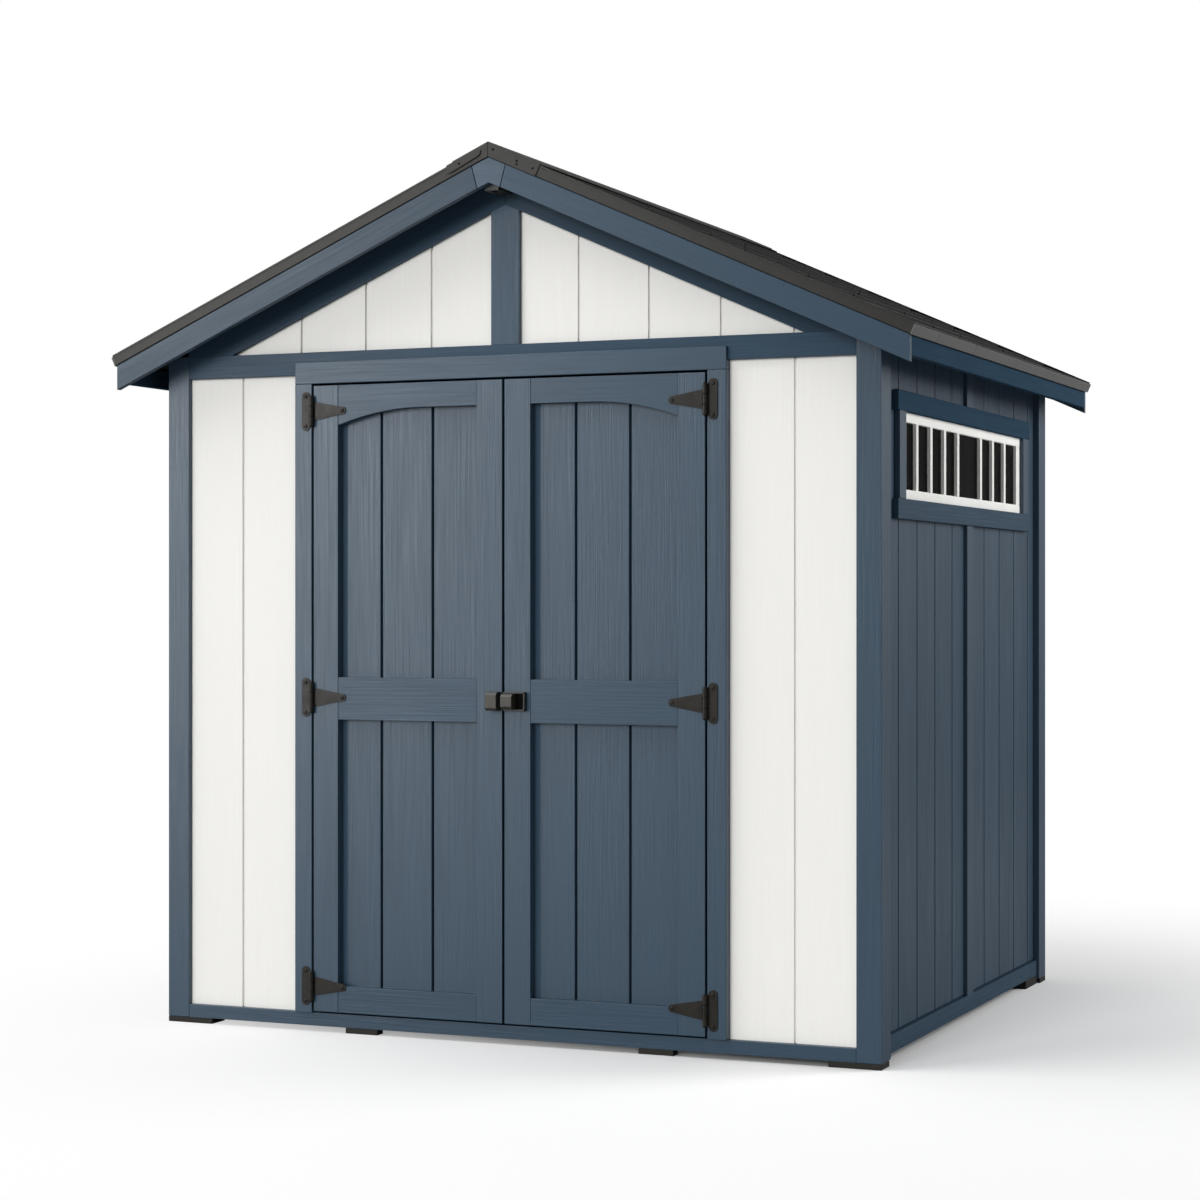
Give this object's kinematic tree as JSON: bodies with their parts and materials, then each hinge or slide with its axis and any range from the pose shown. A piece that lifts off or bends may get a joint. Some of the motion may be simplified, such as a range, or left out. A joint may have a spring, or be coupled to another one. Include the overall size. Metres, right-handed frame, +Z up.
{
  "type": "resin garden shed",
  "caption": "Garden shed of moulded resin panels with a gable shingle roof, arched double doors on strap hinges with a slide latch, and a long barred window in each side wall.",
  "frame": {"origin": "on the ground, under the middle of the shed", "axes": "+Z up, -Y out of the doorway, +X to the right of someone who faces the doors"},
  "size_m": [2.4358, 2.07, 2.4992],
  "materials": {
    "slate_blue": "wood-grained moulded resin",
    "dark_blue": "wood-grained moulded resin",
    "off_white": "wood-grained moulded resin",
    "charcoal": "fine-textured moulded resin",
    "shingle": "shingle-textured moulded resin",
    "bronze": "dark powder coat",
    "floor_grey": "fine-textured moulded resin",
    "steel_black": "black paint",
    "clear_pane": "clear polycarbonate"
  },
  "bodies": {
    "root": {"ground_pads": "charcoal", "floor_panels": "floor_grey", "base_rails": "slate_blue", "side_rails": "dark_blue", "front_left_post": "slate_blue", "front_right_post": "slate_blue", "back_left_post": "slate_blue", "back_right_post": "slate_blue", "front_wall_left": "off_white", "front_wall_right": "off_white", "back_wall": "off_white", "left_wall_front": "dark_blue", "left_wall_back": "dark_blue", "right_wall_front": "dark_blue", "right_wall_back": "dark_blue", "wall_battens": "dark_blue", "tie_beams": "slate_blue", "front_gable": "off_white", "back_gable": "off_white", "king_posts": "slate_blue", "front_frieze": "slate_blue", "back_frieze": "slate_blue", "ridge_beam": "steel_black", "left_roof": "shingle", "right_roof": "shingle", "ridge_cap": "charcoal", "front_barge_boards": "slate_blue", "back_barge_boards": "slate_blue", "barge_keys": "slate_blue", "verge_trims": "charcoal", "eave_fascias": "slate_blue", "eave_drips": "charcoal", "door_jambs": "slate_blue", "door_head": "slate_blue", "window_casings": "dark_blue", "window_frames": "off_white", "window_bars": "off_white", "window_panes": "clear_pane", "hinge_plates": "bronze"},
    "left_door": {"left_door_frame": "slate_blue", "left_door_sheet": "slate_blue", "left_hinge_straps": "bronze", "latch_keeper": "bronze"},
    "right_door": {"right_door_frame": "slate_blue", "right_door_sheet": "slate_blue", "right_hinge_straps": "bronze", "latch_base": "bronze"},
    "latch": {"latch_slide": "bronze"}
  },
  "joints": [
    {"name": "left_door_hinge", "type": "hinge", "parent": "root", "child": "left_door", "pos_m": [-0.602, -0.94, 0.96], "axis": [0, 0, -1], "range_deg": [0, 170]},
    {"name": "right_door_hinge", "type": "hinge", "parent": "root", "child": "right_door", "pos_m": [0.602, -0.94, 0.96], "axis": [0, 0, 1], "range_deg": [0, 170]},
    {"name": "latch_travel", "type": "slide", "parent": "right_door", "child": "latch", "axis": [1, 0, 0], "range_m": [0, 0.022]}
  ]
}
